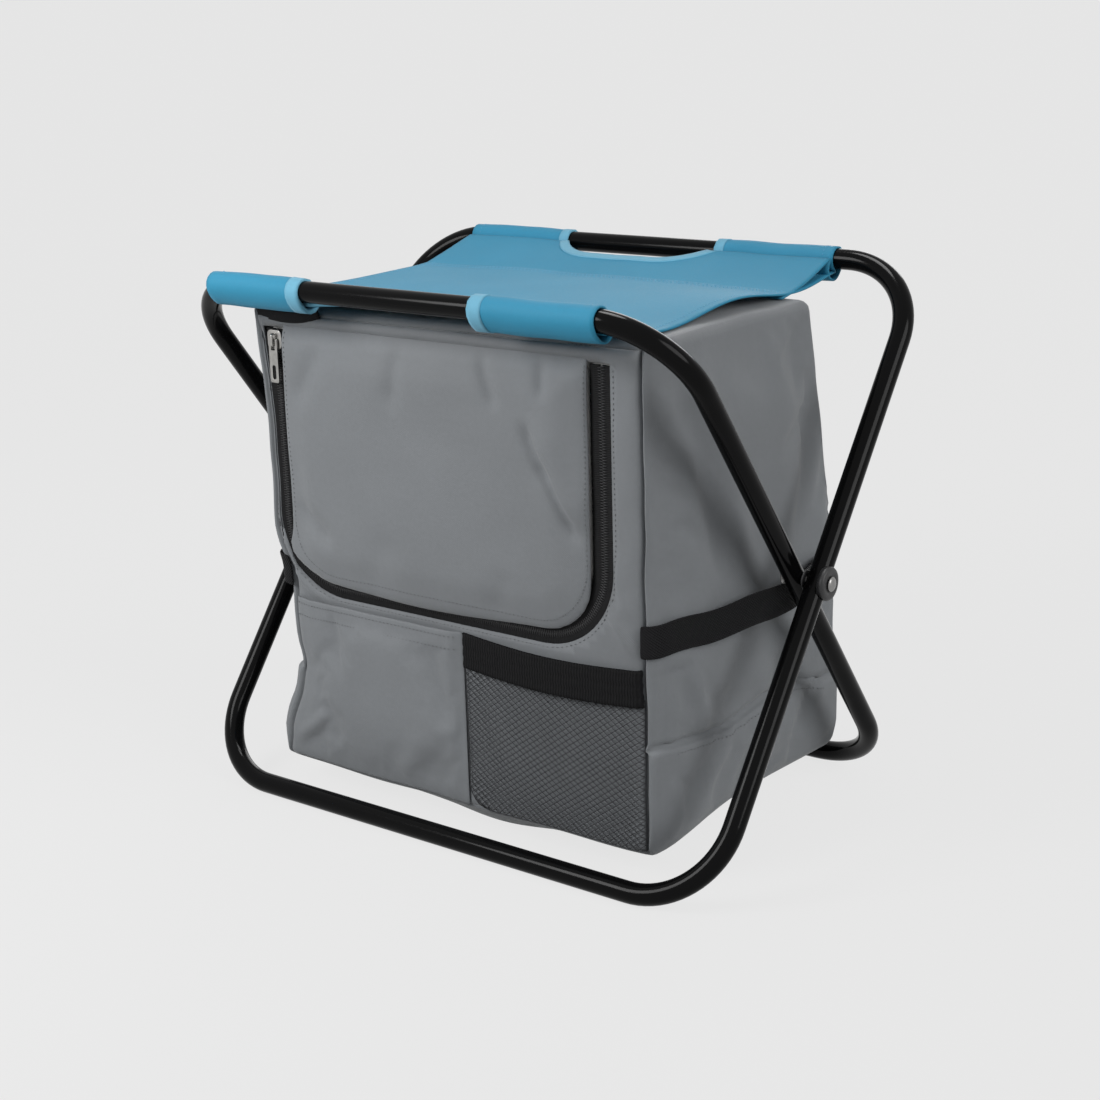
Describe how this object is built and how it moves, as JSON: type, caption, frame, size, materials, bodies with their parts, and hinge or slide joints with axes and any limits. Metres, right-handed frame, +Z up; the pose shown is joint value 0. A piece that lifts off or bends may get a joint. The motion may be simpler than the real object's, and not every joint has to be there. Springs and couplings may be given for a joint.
{
  "type": "folding cooler stool",
  "caption": "Folding stool of crossed tube loops with a slung cloth seat and an insulated zip-front cooler bag hung inside the frame.",
  "frame": {"origin": "on the floor, midway between the two foot bars and under the middle of the frame", "axes": "+Z up, +X along the pivot axis to the right seen from the front, +Y to the back"},
  "size_m": [0.4132, 0.2754, 0.3449],
  "materials": {
    "tube_paint": "gloss black powder coat on steel tube",
    "rivet_steel": "plated steel",
    "black_plastic": "moulded",
    "seat_cloth": "coated polyester",
    "bag_cloth": "coated polyester",
    "foam": "closed-cell foam sheet",
    "foil": "metallised film",
    "webbing": "woven webbing and elastic",
    "pocket_mesh": "open diamond net",
    "zip_tape": "woven tape with a nylon coil",
    "zip_metal": "worn nickel plate"
  },
  "bodies": {
    "outer_frame": {"outer_frame_tube": "tube_paint", "pivot_cap_right": "black_plastic", "pivot_cap_left": "black_plastic", "pivot_rivet_right": "rivet_steel", "pivot_rivet_left": "rivet_steel", "pivot_spacer_right": "black_plastic", "pivot_spacer_left": "black_plastic", "seat_sling": "seat_cloth"},
    "inner_frame": {"inner_frame_tube": "tube_paint"},
    "bag": {"bag_side_panel_right": "bag_cloth", "bag_side_panel_left": "bag_cloth", "bag_top_panel": "bag_cloth", "bag_base_panel": "bag_cloth", "bag_back_panel": "bag_cloth", "side_insulation_right": "foam", "side_insulation_left": "foam", "top_insulation": "foam", "base_insulation": "foam", "back_insulation": "foam", "foil_liner": "foil", "side_strap_right": "webbing", "side_strap_left": "webbing"},
    "bag_front": {"bag_front_panel": "bag_cloth", "front_insulation": "foam", "zip_tape_body": "zip_tape", "flat_pocket": "bag_cloth", "mesh_pocket": "pocket_mesh", "pocket_elastic": "webbing"},
    "flap": {"flap_panel": "bag_cloth", "flap_insulation": "foam", "flap_lining": "foil", "zip_tape_flap": "zip_tape"},
    "zip_slider": {"zip_slider": "zip_metal"},
    "zip_pull": {"zip_pull": "zip_metal"}
  },
  "joints": [
    {"name": "frame_fold", "type": "hinge", "parent": "outer_frame", "child": "inner_frame", "pos_m": [0, 0, 0.16799], "axis": [1, 0, 0], "range_deg": [-69, 0], "deforming": ["seat_sling", "bag_side_panel_right", "bag_side_panel_left", "bag_top_panel", "bag_base_panel", "bag_back_panel", "side_insulation_right", "side_insulation_left", "top_insulation", "base_insulation", "back_insulation", "foil_liner", "side_strap_right", "side_strap_left"]},
    {"name": "bag_swing", "type": "hinge", "parent": "outer_frame", "child": "bag", "pos_m": [0, 0, 0.16799], "axis": [1, 0, 0], "range_deg": [-34.6, 0.1]},
    {"name": "bag_collapse", "type": "slide", "parent": "bag", "child": "bag_front", "axis": [0, 1, 0], "range_m": [-0.0002, 0.0808]},
    {"name": "flap_hinge", "type": "hinge", "parent": "bag_front", "child": "flap", "pos_m": [0, -0.1007, 0.30699], "axis": [-1, 0, 0], "range_deg": [0, 90], "deforming": ["zip_tape_flap"]},
    {"name": "zip_slide", "type": "slide", "parent": "bag_front", "child": "zip_slider", "axis": [0, 0, -1], "range_m": [0, 0.1]},
    {"name": "zip_pull_swing", "type": "hinge", "parent": "zip_slider", "child": "zip_pull", "pos_m": [-0.131, -0.10395, 0.29899], "axis": [-1, 0, 0], "range_deg": [0, 120]}
  ],
  "couplings": [
    {"joint": "bag_swing", "follows": "frame_fold", "ratio": 0.5},
    {"joint": "bag_collapse", "follows": "frame_fold", "m_per_rad": -0.066895}
  ]
}
